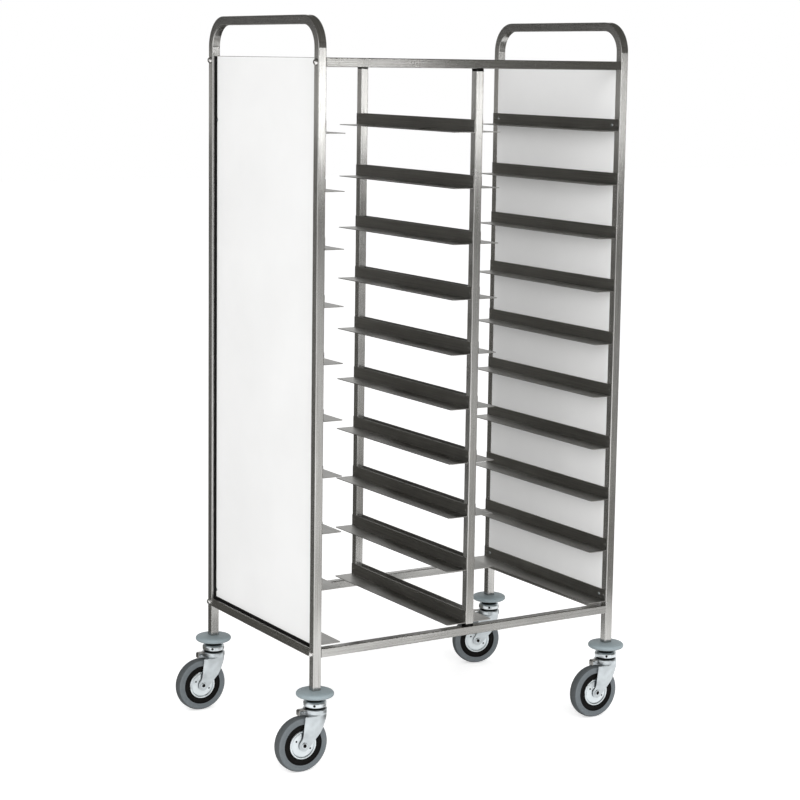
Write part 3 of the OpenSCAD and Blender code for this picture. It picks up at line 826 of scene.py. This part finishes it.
def level_flag(name, mat, height, *corners):
    """A flag that lies level, over its (x, y) corners."""
    flag(name, mat, *((x, y, height) for x, y in corners))


def upright_flag(name, mat, start, end, low, high):
    """A flag that stands on the line between two (x, y) points, from low to high."""
    flag(name, mat, (*start, low), (*end, low), (*end, high), (*start, high))


def add_floor():
    bpy.ops.mesh.primitive_plane_add(size=40, location=(0, 0, 0))
    floor = bpy.context.object
    floor.name = "floor"
    mat, tree, shader = material("floor")
    shader.inputs["Base Color"].default_value = (0.9, 0.9, 0.9, 1)
    shader.inputs["Roughness"].default_value = 0.9
    shader.inputs["Specular IOR Level"].default_value = 0.0
    shader.inputs["Emission Color"].default_value = (1, 1, 1, 1)
    white_behind(tree, shader.inputs["Emission Strength"], FLOOR_GLOW, FLOOR_WHITE)
    floor.data.materials.append(mat)


def add_world():
    world = bpy.data.worlds.new("world")
    scene.world = world
    world.use_nodes = True
    back = world.node_tree.nodes["Background"]
    back.inputs["Color"].default_value = (1, 1, 1, 1)
    white_behind(world.node_tree, back.inputs["Strength"], WORLD_GLOW, WORLD_WHITE)


def add_flags():
    """Cards all round the trolley, which give the brushed steel its dark and light bands."""
    black = card("card", (0.15, 0.146, 0.135))
    grey = card("card_grey", (0.5, 0.49, 0.47))
    deep = card("card_deep", (0.06, 0.058, 0.055))
    for low, high, mat in ((0, 1.25, black), (1.25, 1.58, grey), (1.58, 3, deep)):
        upright_flag("flag_back_left_%g" % high, mat, (-4.3, 1.7), (0.1, 4.3), low, high)
    level_flag("flag_floor_left", black, ON_FLOOR, (-6.5, 0.05), (-0.5, 0.05), (-0.5, 8), (-6.5, 8))
    level_flag("flag_floor_back", black, ON_FLOOR, (-0.5, 0.32), (4, 0.32), (4, 8), (-0.5, 8))
    level_flag("flag_above", black, 3.2, (-4, -5.5), (5, -5.5), (5, 3.5), (-4, 3.5))
    flag("flag_front_high", black, (-1, -6.8, 1.72), (2.9, -5.2, 1.66), (2.9, -5.2, 3.6),
         (-1, -6.8, 3.6))
    upright_flag("flag_front_low", black, (-1, -6.8), (2.9, -5.2), 0.55, 1.1)
    upright_flag("flag_right", black, (2.55, -4.55), (7.5, -0.5), 0, 3.4)
    level_flag("flag_floor_right", black, ON_FLOOR, (0.85, -1.3), (2.55, -4.55), (7.5, -0.5),
               (3.5, 1))
    level_flag("flag_floor_under", black, ON_FLOOR, (-0.12, -0.5), (0.3, -0.5), (0.3, -0.15),
               (-0.12, -0.15))
    level_flag("flag_floor_front", grey, ON_FLOOR, (0.05, -1.45), (0.85, -0.95), (2.5, -4.2),
               (1.6, -4.6))


def add_lamps():
    """Two soft lamps that the metal doesn't mirror, and the band that it does."""
    key = area_light("key", (1.5, -3.9, 3.2), (0, 0, 0.8), (1.2, 1.4), 34)
    key.visible_glossy = False
    area_light("band", (2.1, -5.0, 1.36), (0, 0, 1.36), (1.7, 0.5), 17)
    front = area_light("front", (-2.4, -3.9, 2.2), (0.1, 0, 1.0), (5.6, 4.0), 180)
    front.visible_glossy = False


add_camera()
mats = make_materials()
add_casters(mats)
add_frame_details(mats)
add_floor()
add_world()
add_flags()
add_lamps()
